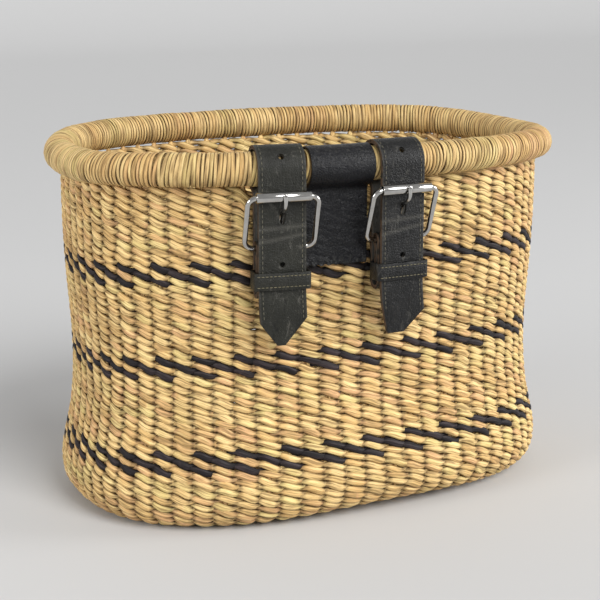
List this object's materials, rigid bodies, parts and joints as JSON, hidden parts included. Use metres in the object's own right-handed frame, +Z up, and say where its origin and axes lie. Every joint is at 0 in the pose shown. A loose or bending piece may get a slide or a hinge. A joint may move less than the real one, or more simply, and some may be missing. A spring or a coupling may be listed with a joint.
{
  "type": "handlebar basket",
  "caption": "Oval straw basket with a wrapped rim, dyed bands and a leather patch, held on a handlebar by leather belts with roller buckles.",
  "frame": {"origin": "middle of the floor's underside", "axes": "+Z up, +X along the basket's length, belts on the front towards -Y"},
  "size_m": [0.3596, 0.2552, 0.2515],
  "materials": {
    "straw": "twined dry straw",
    "dyed_straw": "black-dyed straw",
    "rim_straw": "wound dry straw",
    "core_straw": "dry straw bundle",
    "leather": "smooth finished leather",
    "lining": "plain leather",
    "patch_leather": "creased glossy leather",
    "nickel": "polished nickel plate"
  },
  "bodies": {
    "basket": {"woven_wall": "straw", "woven_floor": "straw", "dyed_band_lower": "dyed_straw", "dyed_band_middle": "dyed_straw", "dyed_band_upper": "dyed_straw", "rim_core": "core_straw", "rim_wrap": "rim_straw", "leather_patch": "patch_leather"},
    "left_belt": {"left_strap_face": "leather", "left_strap_lining": "lining"},
    "left_keeper": {"left_keeper": "leather"},
    "left_buckle_frame": {"left_buckle_frame": "nickel"},
    "left_buckle_roller": {"left_buckle_roller": "nickel"},
    "left_buckle_prong": {"left_buckle_prong": "nickel"},
    "right_belt": {"right_strap_face": "leather", "right_strap_lining": "lining"},
    "right_keeper": {"right_keeper": "leather"},
    "right_buckle_frame": {"right_buckle_frame": "nickel"},
    "right_buckle_roller": {"right_buckle_roller": "nickel"},
    "right_buckle_prong": {"right_buckle_prong": "nickel"}
  },
  "joints": [
    {"name": "left_belt_swing", "type": "hinge", "parent": "basket", "child": "left_belt", "pos_m": [-0.06825, -0.10527, 0.237], "axis": [-0.9844, 0.1762, 0], "range_deg": [0, 80]},
    {"name": "left_keeper_slide", "type": "slide", "parent": "left_belt", "child": "left_keeper", "axis": [0, 0, 1], "range_m": [-0.002, 0.006]},
    {"name": "left_frame_hinge", "type": "hinge", "parent": "left_belt", "child": "left_buckle_frame", "pos_m": [-0.0694, -0.11172, 0.189], "axis": [0.9844, -0.1762, 0], "range_deg": [0, 3]},
    {"name": "left_roller_spin", "type": "hinge", "parent": "left_buckle_frame", "child": "left_buckle_roller", "pos_m": [-0.07146, -0.12324, 0.222], "axis": [0.9844, -0.1762, 0], "continuous": true},
    {"name": "left_prong_hinge", "type": "hinge", "parent": "left_buckle_frame", "child": "left_buckle_prong", "pos_m": [-0.0694, -0.11172, 0.189], "axis": [0.9844, -0.1762, 0], "range_deg": [0, 2]},
    {"name": "right_belt_swing", "type": "hinge", "parent": "basket", "child": "right_belt", "pos_m": [0.01001, -0.10996, 0.237], "axis": [-1, -0.0094, 0], "range_deg": [0, 80]},
    {"name": "right_keeper_slide", "type": "slide", "parent": "right_belt", "child": "right_keeper", "axis": [0, 0, 1], "range_m": [-0.002, 0.006]},
    {"name": "right_frame_hinge", "type": "hinge", "parent": "right_belt", "child": "right_buckle_frame", "pos_m": [0.01008, -0.11651, 0.189], "axis": [1, 0.0094, 0], "range_deg": [0, 3]},
    {"name": "right_roller_spin", "type": "hinge", "parent": "right_buckle_frame", "child": "right_buckle_roller", "pos_m": [0.01019, -0.12821, 0.222], "axis": [1, 0.0094, 0], "continuous": true},
    {"name": "right_prong_hinge", "type": "hinge", "parent": "right_buckle_frame", "child": "right_buckle_prong", "pos_m": [0.01008, -0.11651, 0.189], "axis": [1, 0.0094, 0], "range_deg": [0, 2]}
  ]
}
